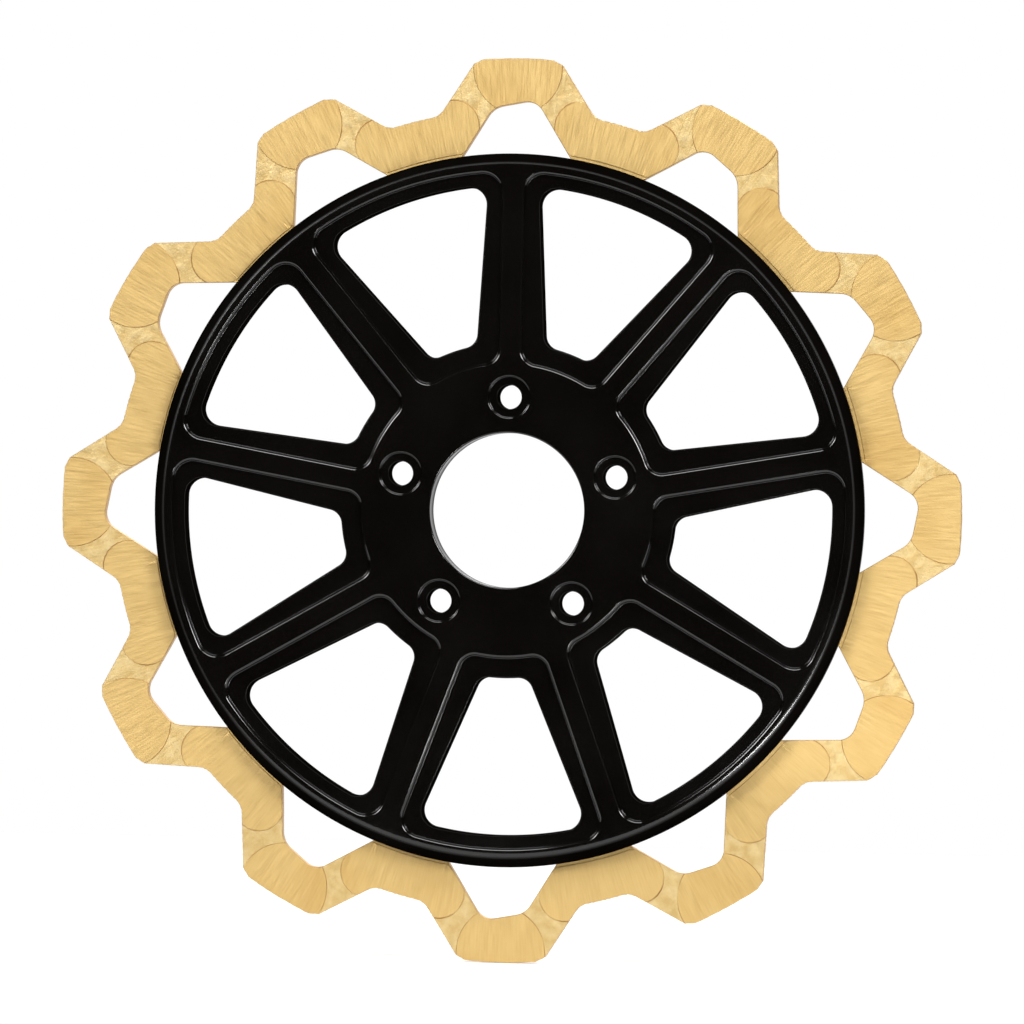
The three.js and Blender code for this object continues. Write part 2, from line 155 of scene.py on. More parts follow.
def opening(outer, inner, side_point, side_lean, outer_round, inner_round):
    """Closed contour of a window about the y axis: half an outer arc, a round, a straight side,
    a round and half an inner arc, then the same mirrored. Gives the points, the normals that
    look into the metal, and how far along the spoke the straight side starts and ends."""
    lean = math.radians(side_lean)
    corner = round_centre(side_point, lean, outer_round, outer - outer_round)
    heel = round_centre(side_point, lean, inner_round, inner + inner_round)
    corner_at = math.atan2(corner[1], corner[0])
    heel_at = math.atan2(heel[1], heel[0])
    square = np.array([math.cos(lean), -math.sin(lean)])
    top, bottom = corner + outer_round * square, heel + inner_round * square
    share = np.linspace(0, 1, 9)[:-1, None]
    runs = [
        bow((0, 0), outer, math.pi / 2, corner_at, 14),
        bow(corner, outer_round, corner_at, -lean, 16),
        (top + (bottom - top) * share, np.repeat(square[None], 8, axis=0)),
        bow(heel, inner_round, -lean, heel_at - math.pi, 20),
        bow((0, 0), inner, heel_at, math.pi / 2, 10, inwards=True),
        (np.array([[0, inner]]), np.array([[0.0, -1.0]])),
    ]
    line = np.concatenate([run[0] for run in runs])
    normal = np.concatenate([run[1] for run in runs])
    flip = np.array([-1, 1])
    half = math.radians(HALF_WINDOW_SECTOR)
    spoke = np.array([math.sin(half), math.cos(half)])
    closed = np.concatenate([line, line[-2:0:-1] * flip])
    return closed, np.concatenate([normal, normal[-2:0:-1] * flip]), (top @ spoke, bottom @ spoke)


def sector_edge(outer, inner, straight):
    """Edge of one window's share of the plate, point for point with opening(): 20 degrees of
    the outer circle, the middle line of a spoke, 20 degrees of the inner circle, and mirrored."""
    fan = np.radians(np.arange(HALF_WINDOW_SECTOR))
    rim = outer * np.stack([np.sin(fan), np.cos(fan)], axis=-1)
    steps = (0, 10, 18, 28)
    reach = np.interp(np.arange(steps[-1]), steps, (outer, *straight, inner))
    half = math.radians(HALF_WINDOW_SECTOR)
    side = reach[:, None] * np.array([math.sin(half), math.cos(half)])
    back = np.radians(np.arange(HALF_WINDOW_SECTOR, -1, -1))
    hub = inner * np.stack([np.sin(back), np.cos(back)], axis=-1)
    line = np.concatenate([rim, side, hub])
    return np.concatenate([line, line[-2:0:-1] * np.array([-1, 1])])


def quarter(step_in, step_up, radius, steps, hollow=False):
    """Quarter round as (offset, height) pairs, from lying flat to upright. It starts at
    (step_in, step_up) and ends one radius further in and one radius lower."""
    turn = np.linspace(0, math.pi / 2, steps + 1)
    if hollow:
        return [(step_in - radius * (1 - math.cos(t)), step_up - radius * math.sin(t)) for t in turn]
    return [(step_in - radius * math.sin(t), step_up - radius * (1 - math.cos(t))) for t in turn]


def carried(contour, normal, profile):
    """A profile of (offset, height) carried round a contour: each point stands the offset along
    the contour's normal, at the height."""
    profile = np.asarray(profile, float)
    flat = contour[None] + profile[:, :1, None] * normal[None]
    return rotor_frame(flat[..., 0], flat[..., 1], profile[:, 1, None])


def turned(profile):
    """A profile of (radius, height) turned about the wheel axis, a point every whole degree."""
    profile = np.asarray(profile, float)
    fan = np.radians(np.arange(360))[None]
    radius, height = profile[:, :1], profile[:, 1:]
    return rotor_frame(radius * np.sin(fan), radius * np.cos(fan), height)


def hole_edge(outer, inner, half, side_steps):
    """Edge of a hole's share of an annulus, clockwise from its upper left corner: the outer
    circle degree by degree, a straight side, the inner circle and the other side."""
    fan = np.radians(np.arange(-half, half))
    over = outer * np.stack([np.sin(fan), np.cos(fan)], axis=-1)
    under = inner * np.stack([np.sin(-fan), np.cos(fan)], axis=-1)
    down = np.linspace(outer, inner, side_steps + 1)[:-1, None]
    edge = np.array([math.sin(math.radians(half)), math.cos(math.radians(half))])
    up = np.linspace(inner, outer, side_steps + 1)[:-1, None]
    return np.concatenate([over, down * edge, under, up * edge * np.array([-1, 1])])


def hole_circle(count, over, centre_radius):
    """Unit circle round a hole's centre, point for point with hole_edge(): it starts where the
    outer circle's share of the points is centred on the top."""
    angle = math.pi / 2 + math.pi * over / count - 2 * math.pi * np.arange(count) / count
    out = np.stack([np.cos(angle), np.sin(angle)], axis=-1)
    return np.broadcast_to(np.array([0.0, centre_radius]), out.shape), out


def flat(contour, height):
    """A contour laid in a plane at a height, as one row of a grid."""
    return rotor_frame(contour[:, 0], contour[:, 1], height)[None]


ledge, ledge_normal, ledge_straight = opening(
    outer=123.1, inner=53.85, side_point=(20.73, 69.53), side_lean=20, outer_round=6.8, inner_round=5.8,
)
window, window_normal, window_straight = opening(
    outer=118.4, inner=61.1, side_point=(12.25, 68.85), side_lean=23, outer_round=6.2, inner_round=5.4,
)
step_profile = [(STEP_ROUND + 0.15, CARRIER_FACE), *quarter(STEP_ROUND, CARRIER_FACE, STEP_ROUND, 9)]
step_profile += quarter(0, LEDGE_FLOOR + STEP_HOLLOW, STEP_HOLLOW, 4, hollow=True)
step_profile += [(-2 * STEP_HOLLOW, LEDGE_FLOOR)]
wall_profile = [(WINDOW_EDGE + FINE_BREAK, LEDGE_FLOOR)]
wall_profile += quarter(WINDOW_EDGE, LEDGE_FLOOR, WINDOW_EDGE, 4)
wall_profile += [(0, PLATE_REAR + EDGE_BREAK), (EDGE_BREAK, PLATE_REAR)]
rear_edge = sector_edge(RABBET_RADIUS - EDGE_BREAK, HUB_SEAT_RADIUS + FINE_BREAK, window_straight)
window_sector = np.concatenate([
    flat(sector_edge(RIM_CROWN_START, HUB_FRONT, ledge_straight), CARRIER_FACE),
    carried(ledge, ledge_normal, step_profile),
    carried(window, window_normal, wall_profile),
    flat(rear_edge, PLATE_REAR),
])
carrier_patches = [(spun(window_sector, 20 + 40 * k), False, True) for k in range(WINDOW_SPOKES)]

crown = np.linspace(0, math.pi / 2, 15)
rim_profile = np.stack([
    RIM_CROWN_START + (RIM_RADIUS - RIM_CROWN_START) * np.sin(crown),
    CARRIER_FACE - RIM_CROWN_DROP * (1 - np.cos(crown)),
], axis=-1).tolist()
rim_profile += [(RIM_RADIUS, FLANGE_REAR + EDGE_BREAK), (RIM_RADIUS - EDGE_BREAK, FLANGE_REAR)]
rabbet_profile = [(RABBET_RADIUS, FLANGE_REAR), (RABBET_RADIUS, PLATE_REAR + EDGE_BREAK)]
rabbet_profile += [(RABBET_RADIUS - EDGE_BREAK, PLATE_REAR)]
hub_step_profile = [
    (HUB_SEAT_RADIUS + FINE_BREAK, PLATE_REAR), (HUB_SEAT_RADIUS, PLATE_REAR - FINE_BREAK),
    (HUB_SEAT_RADIUS, HUB_REAR + FINE_BREAK), (HUB_SEAT_RADIUS - FINE_BREAK, HUB_REAR),
]
bore_round = quarter(BORE_ROUND, CARRIER_FACE, BORE_ROUND, 4)
bore_profile = [(BORE_FRONT_EDGE, CARRIER_FACE), *[(BORE_RADIUS + i, h) for i, h in bore_round]]
bore_profile += [(BORE_RADIUS, HUB_REAR + 0.5), (BORE_REAR_EDGE, HUB_REAR)]
for profile in (rim_profile, rabbet_profile, hub_step_profile, bore_profile):
    carrier_patches.append((turned(profile), False, True))

centres, outwards = hole_circle(count=192, over=72, centre_radius=BOLT_CIRCLE_RADIUS)
mouth_round = quarter(0.5, CARRIER_FACE, 0.5, 5)
floor_round = quarter(0, COUNTERBORE_FLOOR + FINE_BREAK, FINE_BREAK, 3, hollow=True)
bolt_profile = [
    (COUNTERBORE_RADIUS + 0.8, CARRIER_FACE),
    *[(COUNTERBORE_RADIUS + i, h) for i, h in mouth_round + floor_round],
    (BOLT_HOLE_RADIUS + EDGE_BREAK, COUNTERBORE_FLOOR),
    (BOLT_HOLE_RADIUS, COUNTERBORE_FLOOR - EDGE_BREAK),
    (BOLT_HOLE_RADIUS, HUB_REAR + FINE_BREAK),
    (BOLT_HOLE_RADIUS + FINE_BREAK, HUB_REAR),
]
bolt_half_share = 180 // BOLT_HOLES
bolt_sector = np.concatenate([
    flat(hole_edge(HUB_FRONT, BORE_FRONT_EDGE, bolt_half_share, 24), CARRIER_FACE),
    carried(centres, outwards, bolt_profile),
    flat(hole_edge(HUB_SEAT_RADIUS - FINE_BREAK, BORE_REAR_EDGE, bolt_half_share, 24), HUB_REAR),
])
carrier_patches += [(spun(bolt_sector, 2 * bolt_half_share * k), False, True) for k in range(BOLT_HOLES)]

centres, outwards = hole_circle(count=68, over=30, centre_radius=STATION_RADIUS)
thread_profile = [
    (THREAD_HOLE_RADIUS + FINE_BREAK, FLANGE_REAR),
    (THREAD_HOLE_RADIUS, FLANGE_REAR + FINE_BREAK),
    (THREAD_HOLE_RADIUS, THREAD_HOLE_END),
    (0, THREAD_HOLE_END + DRILL_TIP),
]
thread_sector = np.concatenate([
    flat(hole_edge(RIM_RADIUS - EDGE_BREAK, RABBET_RADIUS, STATION_STEP // 2, 4), FLANGE_REAR),
    carried(centres, outwards, thread_profile),
])
for station in range(STATIONS):
    carrier_patches.append((spun(thread_sector, STATION_STEP * (station + 0.5)), False, True))


def finish_nodes(name, roughness, metallic):
    """A Principled surface for one of the rotor's finishes, with its node tree and link call."""
    material = bpy.data.materials.new(name)
    material.use_nodes = True
    tree = material.node_tree
    surface = tree.nodes["Principled BSDF"]
    surface.inputs["Roughness"].default_value = roughness
    surface.inputs["Metallic"].default_value = metallic
    return material, tree, surface


def mottle(tree, vector, scale, detail, low, high):
    """Soft noise of the given scale per metre, stretched so that low maps to 0 and high to 1."""
    noise = tree.nodes.new("ShaderNodeTexNoise")
    noise.inputs["Scale"].default_value = scale
    noise.inputs["Detail"].default_value = detail
    tree.links.new(vector, noise.inputs["Vector"])
    span = tree.nodes.new("ShaderNodeMapRange")
    span.inputs["From Min"].default_value = low
    span.inputs["From Max"].default_value = high
    tree.links.new(noise.outputs["Fac"], span.inputs["Value"])
    return span.outputs["Result"]


def tint(tree, share, first, second):
    """Colour that goes from the first to the second as share goes from 0 to 1. Either colour may
    be a plain colour or another node's output."""
    mix = tree.nodes.new("ShaderNodeMix")
    mix.data_type = "RGBA"
    for socket, value in ((mix.inputs[6], first), (mix.inputs[7], second)):
        if isinstance(value, tuple):
            socket.default_value = (*value, 1)
        else:
            tree.links.new(value, socket)
    tree.links.new(share, mix.inputs[0])
    return mix.outputs[2]


def relief(tree, surface, height, strength, distance, after=None):
    """Fine height on a surface as a bump, laid on top of an earlier bump where there is one."""
    bump = tree.nodes.new("ShaderNodeBump")
    bump.inputs["Strength"].default_value = strength
    bump.inputs["Distance"].default_value = distance
    tree.links.new(height, bump.inputs["Height"])
    if after:
        tree.links.new(after, bump.inputs["Normal"])
    tree.links.new(bump.outputs["Normal"], surface.inputs["Normal"])
    return bump.outputs["Normal"]


def metal_place(tree):
    """The piece's own coordinates, in metres."""
    return tree.nodes.new("ShaderNodeTexCoord").outputs["Object"]


DULL_CROWN_START, DULL_CROWN_WIDTH, DULL_CROWN_FOOT = 125.9, 0.9, 6.0
DULL_DEPTH, REAR_CHAMFER, DULL_ROUGHNESS = 0.04, 0.3, 0.6
WALLS_REACH, HUB_REACH = 119.5, 52.2


def gloss_black():
    """Gloss black powder coat: nearly even black with a faint warm cast, a faint orange peel, and
    a sheen that varies a little across the plate. Where the mesh is marked dull, the roughness
    goes to DULL_ROUGHNESS and the reflection to nothing."""
    material, tree, surface = finish_nodes("carrier_gloss_black", 0.2, 0.0)
    place = metal_place(tree)
    cast = mottle(tree, place, 34, 2, 0.3, 0.7)
    black = tint(tree, cast, (0.0012, 0.0009, 0.0007), (0.0022, 0.0018, 0.0015))
    tree.links.new(black, surface.inputs["Base Color"])
    sheen = tree.nodes.new("ShaderNodeMapRange")
    sheen.inputs["To Min"].default_value = 0.08
    sheen.inputs["To Max"].default_value = 0.13
    tree.links.new(mottle(tree, place, 60, 3, 0.3, 0.7), sheen.inputs["Value"])
    relief(tree, surface, mottle(tree, place, 620, 2, 0.2, 0.8), 0.05, 0.0002)
    dull = tree.nodes.new("ShaderNodeAttribute")
    dull.attribute_name = "dull"
    dulled = tree.nodes.new("ShaderNodeMix")
    dulled.inputs[3].default_value = DULL_ROUGHNESS
    tree.links.new(dull.outputs["Fac"], dulled.inputs[0])
    tree.links.new(sheen.outputs["Result"], dulled.inputs[2])
    tree.links.new(dulled.outputs[0], surface.inputs["Roughness"])
    reflecting = tree.nodes.new("ShaderNodeMapRange")
    reflecting.inputs["To Min"].default_value = 0.5
    reflecting.inputs["To Max"].default_value = 0.0
    tree.links.new(dull.outputs["Fac"], reflecting.inputs["Value"])
    tree.links.new(reflecting.outputs["Result"], surface.inputs["Specular IOR Level"])
    return material


def dull_coat(points):
    """How dull the powder coat is, from 0 to 1: it is thin on the walls of the windows and holes,
    between the ledges' floor and the rear, and on the outer shoulder of the rim's crown."""
    height = MID_DEPTH - points[..., 1].ravel() * 1000
    radius = np.hypot(points[..., 0], points[..., 2]).ravel() * 1000
    rear = np.where(radius < HUB_REACH, HUB_REAR, PLATE_REAR)
    wall = np.minimum((LEDGE_FLOOR - height) / DULL_DEPTH, (height - rear) / REAR_CHAMFER)
    shoulder = (radius - DULL_CROWN_START) / DULL_CROWN_WIDTH * (height > DULL_CROWN_FOOT)
    return np.clip(np.where(radius < WALLS_REACH, wall, shoulder), 0, 1)


machined_piece(
    "carrier_plate", carrier_patches, gloss_black(), "carrier_body", "carrier",
    marks={"dull": [dull_coat(patch[0]) for patch in carrier_patches]},
)

# ---------------------------------------------------------------------------------------------
# Friction ring. Stainless sheet, laser-cut to twelve lobes and twelve cut-outs, ground on both
# faces, with shallow pockets milled across the flanks and a gold nitride surface. Its slotted
# ears sit behind the carrier's rim, on the drive bobbins.
# ---------------------------------------------------------------------------------------------
RING_HALF, RING_RADIUS, LOBE_TOP_HALF = 2.5, 165, 12.8
RING_CHAMFER = 0.25
POCKET = 0.3
EAR_RELIEF, EAR_RELIEF_RADIUS, EAR_RELIEF_SLOPE = 0.5, 131.3, 0.12
EAR_HALF_WIDTH, EAR_SHOULDER, EAR_FOOT = 12.54, 127.89, 121.6
SLOT_HALF_WIDTH, SLOT_TOP, SLOT_ROUND = 4.3, 129.5, 4.2
LOBES, LOBE_STEP = 12, 30
FACET_END = np.array([16.3, 162.7])
FLANK_LEAN = math.radians(32.5)
VALLEY_RADIUS, VALLEY_ROUND = 146.2, 7.0
LOBE_LAND, LOBE_LAND_RADIUS = np.array([0, 161.3]), 16.5
VALLEY_LAND, VALLEY_LAND_RADIUS = np.array([22.7, 140.3]), 9.2
LAND_SPLIT, EAR_SPLIT = 0.6, 0.97
ARC_POINTS, TOP_POINTS = 41, 30
RIPPLE_COARSE, RIPPLE_FINE = 0.05, 0.04


def rounded_path(corners):
    """Fine open path through corners of (x, y, round): straight runs, and at each corner an arc
    that touches both runs."""
    corners = np.asarray(corners, float)
    runs = [corners[:1, :2]]
    for before, (x, y, radius), after in zip(corners[:-2], corners[1:-1], corners[2:]):
        at = np.array([x, y])
        back = (before[:2] - at) / np.linalg.norm(before[:2] - at)
        ahead = (after[:2] - at) / np.linalg.norm(after[:2] - at)
        half = math.acos(back @ ahead) / 2
        centre = at + (back + ahead) / np.linalg.norm(back + ahead) * radius / math.sin(half)
        start = at + back * radius / math.tan(half) - centre
        sweep = math.copysign(math.pi - 2 * half, -(back[0] * ahead[1] - back[1] * ahead[0]))
        angle = math.atan2(start[1], start[0]) + np.linspace(0, sweep, ARC_POINTS)
        arc = centre + radius * np.stack([np.cos(angle), np.sin(angle)], axis=-1)
        runs.append(arc if radius else at[None])
    runs.append(corners[-1:, :2])
    return np.concatenate(runs)


def path_length(path):
    """Distance along a path at each of its points."""
    return np.concatenate([[0], np.cumsum(np.linalg.norm(np.diff(path, axis=0), axis=1))])


def path_point(path, distance):
    """Points of a path at the given distances along it."""
    length = path_length(path)
    return np.stack([np.interp(distance, length, path[:, axis]) for axis in range(2)], axis=-1)


def crossing(path, centre, radius):
    """Distance along a path at which it crosses a circle for the first time."""
    fine = np.linspace(0, path_length(path)[-1], 4001)
    gap = np.linalg.norm(path_point(path, fine) - centre, axis=1) - radius
    first = np.flatnonzero(np.sign(gap[:-1]) != np.sign(gap[1:]))[0]
    return fine[first] + gap[first] / (gap[first] - gap[first + 1]) * fine[1]


def along_path(path, distance):
    """Points of a path at the given distances along it, and normals to the left of travel."""
    end, step = path_length(path)[-1], 0.02
    ahead = path_point(path, np.minimum(distance + step, end))
    run = ahead - path_point(path, np.maximum(distance - step, 0))
    run /= np.linalg.norm(run, axis=1, keepdims=True)
    return path_point(path, distance), np.stack([-run[:, 1], run[:, 0]], axis=-1)


def straight(start, stop):
    """Straight line from start to stop as a function of the share of the way along it."""
    return lambda share: start + share[..., None] * (stop - start)


def bulge(start, stop, radius, side):
    """Arc of a given radius from start to stop as a function of the share of its sweep. It
    bulges to the left of travel for side 1 and to the right for side -1."""
    chord = stop - start
    length = np.linalg.norm(chord)
    off = side * np.array([-chord[1], chord[0]]) / length
    half = math.asin(length / 2 / radius)
    middle = (start + stop) / 2 - off * radius * math.cos(half)

    def at(share):
        turn = (2 * share[..., None] - 1) * half
        return middle + radius * (off * np.cos(turn) + chord / length * np.sin(turn))

    return at


def coons(left, right, top, bottom, u, v):
    """Surface spanned by four curves: the blend of left and right across u, plus the blend of
    top and bottom across v, less the blend of the four corners. left and right are functions of
    v, and top and bottom hold one point for each u."""
    u, w = u[:, None, None], v[..., None]
    sides = (1 - u) * left(v) + u * right(v)
    ends = (1 - w) * top[:, None] + w * bottom[:, None]
    corners = (1 - u) * ((1 - w) * top[0] + w * bottom[0]) + u * ((1 - w) * top[-1] + w * bottom[-1])
    return sides + ends - corners


def band_rows(split):
    """Shares of the way across the band for each column: eight lines up to the column's split,
    where the ear's relief begins, one line just past it, and five more to the inner edge."""
    before = split[:, None] * np.linspace(0, 1, 8)
    after = split[:, None] + 0.008 + (0.992 - split[:, None]) * np.linspace(0, 1, 6)
    return np.concatenate([before, after], axis=1)


def lobe_half(tall):
    """Right half of a lobe, from the lobe's middle to the ear's middle, as columns that cross
    the band from its outer edge to its inner edge: the lobe's land, the pocket and the valley's
    land with the ear. tall picks the cut-out's high corner, and otherwise its low one. Gives the
    two edges, the face points, and each column's share of pocket and of land edge."""
    turn = math.radians(LOBE_STEP / 2)

    def on_ear(x, y):
        """A point drawn on an upright ear, in its place half a lobe further round."""
        return x * math.cos(turn) + y * math.sin(turn), y * math.cos(turn) - x * math.sin(turn)

    high, low = (6.85, 149.8), (8.8, 146.8)
    (near_x, near_y), near_round, (far_x, far_y) = (high, 6.5, low) if tall else (low, 8.0, high)
    crown_middle = near_y + (far_y - near_y) * near_x / (near_x + far_x)
    inner_path = rounded_path([
        (0, crown_middle, 0),
        (near_x, near_y, near_round),
        (*on_ear(-EAR_HALF_WIDTH, EAR_SHOULDER), 1.5),
        (*on_ear(-EAR_HALF_WIDTH, EAR_FOOT), 2.5),
        (*on_ear(-SLOT_HALF_WIDTH, EAR_FOOT), 0),
        (*on_ear(-SLOT_HALF_WIDTH, SLOT_TOP), SLOT_ROUND),
        (*on_ear(0, SLOT_TOP), 0),
    ])
    top = np.linspace(math.pi / 2, math.acos(LOBE_TOP_HALF / RING_RADIUS), TOP_POINTS)
    flank_along = np.array([math.sin(FLANK_LEAN), -math.cos(FLANK_LEAN)])
    flank_off = np.array([math.cos(FLANK_LEAN), math.sin(FLANK_LEAN)])
    foot = FACET_END + VALLEY_ROUND * flank_off
    reach = foot @ flank_along
    rest = math.sqrt(reach**2 - foot @ foot + (VALLEY_RADIUS + VALLEY_ROUND) ** 2)
    valley = foot - (rest + reach) * flank_along
    valley_at = math.atan2(valley[1], valley[0])
    dip = np.linspace(FLANK_LEAN - math.pi, valley_at - math.pi, 30)
    floor = np.linspace(valley_at, math.pi / 2 - turn, 60)[1:]
    outer_path = np.concatenate([
        RING_RADIUS * np.stack([np.cos(top), np.sin(top)], axis=-1),
        FACET_END[None],
        valley + VALLEY_ROUND * np.stack([np.cos(dip), np.sin(dip)], axis=-1),
        VALLEY_RADIUS * np.stack([np.cos(floor), np.sin(floor)], axis=-1),
    ])
    outer_length, inner_length = path_length(outer_path), path_length(inner_path)
    lobe_out = outer_length[TOP_POINTS]
    lobe_in = crossing(inner_path, LOBE_LAND, LOBE_LAND_RADIUS)
    valley_out = crossing(outer_path, VALLEY_LAND, VALLEY_LAND_RADIUS)
    valley_in = crossing(inner_path, VALLEY_LAND, VALLEY_LAND_RADIUS)

    lobe_u = np.concatenate([np.linspace(0, 0.72, 9), np.linspace(0.72, 0.985, 5)[1:], [1]])
    pocket_u = np.concatenate([[0, 0.018], np.linspace(0.05, 0.95, 22), [0.982, 1]])
    ear_stops = (0, 0.36, 0.42, 0.46, 0.55, 0.66, 0.72, 0.98, 1)
    ear_counts = (10, 4, 2, 5, 3, 2, 9, 1)
    ear_u = [np.linspace(a, b, n + 1)[1:] for a, b, n in zip(ear_stops[:-1], ear_stops[1:], ear_counts)]
    ear_u = np.concatenate([[0, 0.016], *ear_u])
    ear_corners = ARC_POINTS * np.array([1, 2, 2, 3, 3, 3, 4, 4]) + np.array([1, 0, 1, 0, 1, 2, 1, 2])
    ear_lengths = [valley_in, *inner_length[ear_corners]]
    valley_run, end_run = valley_out - lobe_out, outer_length[-1] - valley_out
    lobe_run = np.interp(lobe_u, (0, 0.72, 1), (0, outer_length[TOP_POINTS - 1], lobe_out))
    edges = [
        (lobe_u, lobe_run, lobe_u * lobe_in),
        (pocket_u, lobe_out + pocket_u * valley_run, lobe_in + pocket_u * (valley_in - lobe_in)),
        (ear_u, valley_out + ear_u * end_run, np.interp(ear_u, ear_stops, ear_lengths)),
    ]
    borders = [None, (LOBE_LAND_RADIUS, 1), (VALLEY_LAND_RADIUS, -1), None]

    def across(ends, border):
        """Curve across the band at a border between areas: a land's round edge, or a straight
        line at either end of the half."""
        return bulge(*ends, *borders[border]) if borders[border] else straight(*ends)

    outers, inners, faces = [], [], []
    for area, (u, out_at, in_at) in enumerate(edges):
        outer, outer_off = along_path(outer_path, out_at)
        inner, inner_off = along_path(inner_path, in_at)
        top_line, bottom_line = outer - RING_CHAMFER * outer_off, inner + RING_CHAMFER * inner_off
        left = across((top_line[0], bottom_line[0]), area)
        right = across((top_line[-1], bottom_line[-1]), area + 1)
        split = LAND_SPLIT + area * (EAR_SPLIT - LAND_SPLIT) * u
        if area == 2:
            fine = np.broadcast_to(np.linspace(0, 1, 401), (len(u), 401))
            reach = np.linalg.norm(coons(left, right, top_line, bottom_line, u, fine), axis=-1)
            split = np.minimum((reach > EAR_RELIEF_RADIUS).sum(axis=1) / 400, EAR_SPLIT)
        start = 1 if area else 0
        outers.append(outer[start:])
        inners.append(inner[start:])
        faces.append(coons(left, right, top_line, bottom_line, u, band_rows(split))[start:])
    in_pocket = (pocket_u > 0) & (pocket_u < 1)
    on_edge = (pocket_u < 0.03) | (pocket_u > 0.97)
    pocket = np.concatenate([np.zeros(len(lobe_u)), in_pocket[1:], np.zeros(len(ear_u) - 1)])
    land_edge = np.concatenate([lobe_u == 1, on_edge[1:], np.zeros(len(ear_u) - 1)])
    return [np.concatenate(outers), np.concatenate(inners), np.concatenate(faces), pocket, land_edge]


def mirrored(half):
    """A lobe's left half from a right half: x changes sign and the columns run backwards."""
    outer, inner, face, pocket, land_edge = half
    flip = np.array([-1, 1])
    return [run[::-1] for run in (outer * flip, inner * flip, face * flip, pocket, land_edge)]


def whole_lobe(left, right):
    """Both halves side by side, without the column that the next lobe begins with."""
    return [np.concatenate([a[:-1], b[:-1]]) for a, b in zip(left, right)]


def turned_flat(points, degrees):
    """Drawn points turned clockwise about the wheel axis."""
    angle = math.radians(degrees)
    back = np.array([[math.cos(angle), -math.sin(angle)], [math.sin(angle), math.cos(angle)]])
    return points @ back


tall, short = lobe_half(True), lobe_half(False)
lobe_kinds = [whole_lobe(mirrored(short), tall), whole_lobe(mirrored(tall), short)]
ring_outer, ring_inner, ring_face = (
    np.concatenate([turned_flat(lobe_kinds[i % 2][part], LOBE_STEP * i) for i in range(LOBES)])
    for part in range(3)
)
ring_pocket, ring_land_edge = (
    np.concatenate([lobe_kinds[i % 2][part] for i in range(LOBES)]) for part in (3, 4)
)

# The cut edge keeps the fine ripple that the laser leaves, a few hundredths deep.
around = path_length(ring_outer)
ripple = RIPPLE_COARSE * np.sin(around * 2.6 + 2 * np.sin(around * 0.31))
ripple += RIPPLE_FINE * np.sin(around * 4.1 + 1) - (RIPPLE_COARSE + RIPPLE_FINE)
ring_outer = ring_outer * (1 + ripple / RING_RADIUS)[:, None]

face_reach = np.linalg.norm(ring_face, axis=-1)
ear_drop = EAR_RELIEF * np.clip((EAR_RELIEF_RADIUS - face_reach) / EAR_RELIEF_SLOPE, 0, 1)
front_height = RING_HALF - POCKET * ring_pocket[:, None] - ear_drop
rear_height = -RING_HALF + POCKET * ring_pocket[:, None] + 0 * face_reach
ring_section = np.concatenate([
    rotor_frame(ring_face[..., 0], ring_face[..., 1], front_height),
    rotor_frame(ring_inner[:, :1], ring_inner[:, 1:], front_height[:, -1:] - RING_CHAMFER),
    rotor_frame(ring_inner[:, :1], ring_inner[:, 1:], rear_height[:, -1:] + RING_CHAMFER),
    rotor_frame(ring_face[:, ::-1, 0], ring_face[:, ::-1, 1], rear_height[:, ::-1]),
    rotor_frame(ring_outer[:, :1], ring_outer[:, 1:], rear_height[:, :1] + RING_CHAMFER),
    rotor_frame(ring_outer[:, :1], ring_outer[:, 1:], front_height[:, :1] - RING_CHAMFER),
], axis=1)
lines = ring_face.shape[1]
cut_edge = np.zeros(ring_section.shape[:2])
cut_edge[:, [lines, lines + 1, -2, -1]] = 1
ring_marks = {
    "pocket": [np.repeat(ring_pocket, ring_section.shape[1])],
    "land_edge": [np.repeat(ring_land_edge, ring_section.shape[1])],
    "cut_edge": [cut_edge.ravel()],
}


def mark(tree, name):
    """A named value that the mesh carries for each point."""
    node = tree.nodes.new("ShaderNodeAttribute")
    node.attribute_name = name
    return node.outputs["Fac"]


def both(tree, first, second):
    """The product of two shares, kept between 0 and 1. second may be a number."""
    node = tree.nodes.new("ShaderNodeMath")
    node.operation = "MULTIPLY"
    node.use_clamp = True
    tree.links.new(first, node.inputs[0])
    if isinstance(second, float):
        node.inputs[1].default_value = second
    else:
        tree.links.new(second, node.inputs[1])
    return node.outputs[0]


def radial_grain(tree, place, around_axis, along_radius):
    """Coordinates for a grinding grain that runs along the radius: the direction from the wheel
    axis, spread out by around_axis, plus the radius times along_radius, which stays small."""
    in_plane = tree.nodes.new("ShaderNodeVectorMath")
    in_plane.operation = "MULTIPLY"
    in_plane.inputs[1].default_value = (1, 0, 1)
    tree.links.new(place, in_plane.inputs[0])
    unit = tree.nodes.new("ShaderNodeVectorMath")
    unit.operation = "NORMALIZE"
    tree.links.new(in_plane.outputs[0], unit.inputs[0])
    spread = tree.nodes.new("ShaderNodeVectorMath")
    spread.operation = "SCALE"
    spread.inputs["Scale"].default_value = around_axis
    tree.links.new(unit.outputs[0], spread.inputs[0])
    reach = tree.nodes.new("ShaderNodeVectorMath")
    reach.operation = "LENGTH"
    tree.links.new(in_plane.outputs[0], reach.inputs[0])
    slow = tree.nodes.new("ShaderNodeMath")
    slow.operation = "MULTIPLY"
    slow.inputs[1].default_value = along_radius
    tree.links.new(reach.outputs["Value"], slow.inputs[0])
    lift = tree.nodes.new("ShaderNodeCombineXYZ")
    tree.links.new(slow.outputs[0], lift.inputs["Y"])
    total = tree.nodes.new("ShaderNodeVectorMath")
    tree.links.new(spread.outputs[0], total.inputs[0])
    tree.links.new(lift.outputs[0], total.inputs[1])
    return total.outputs[0]


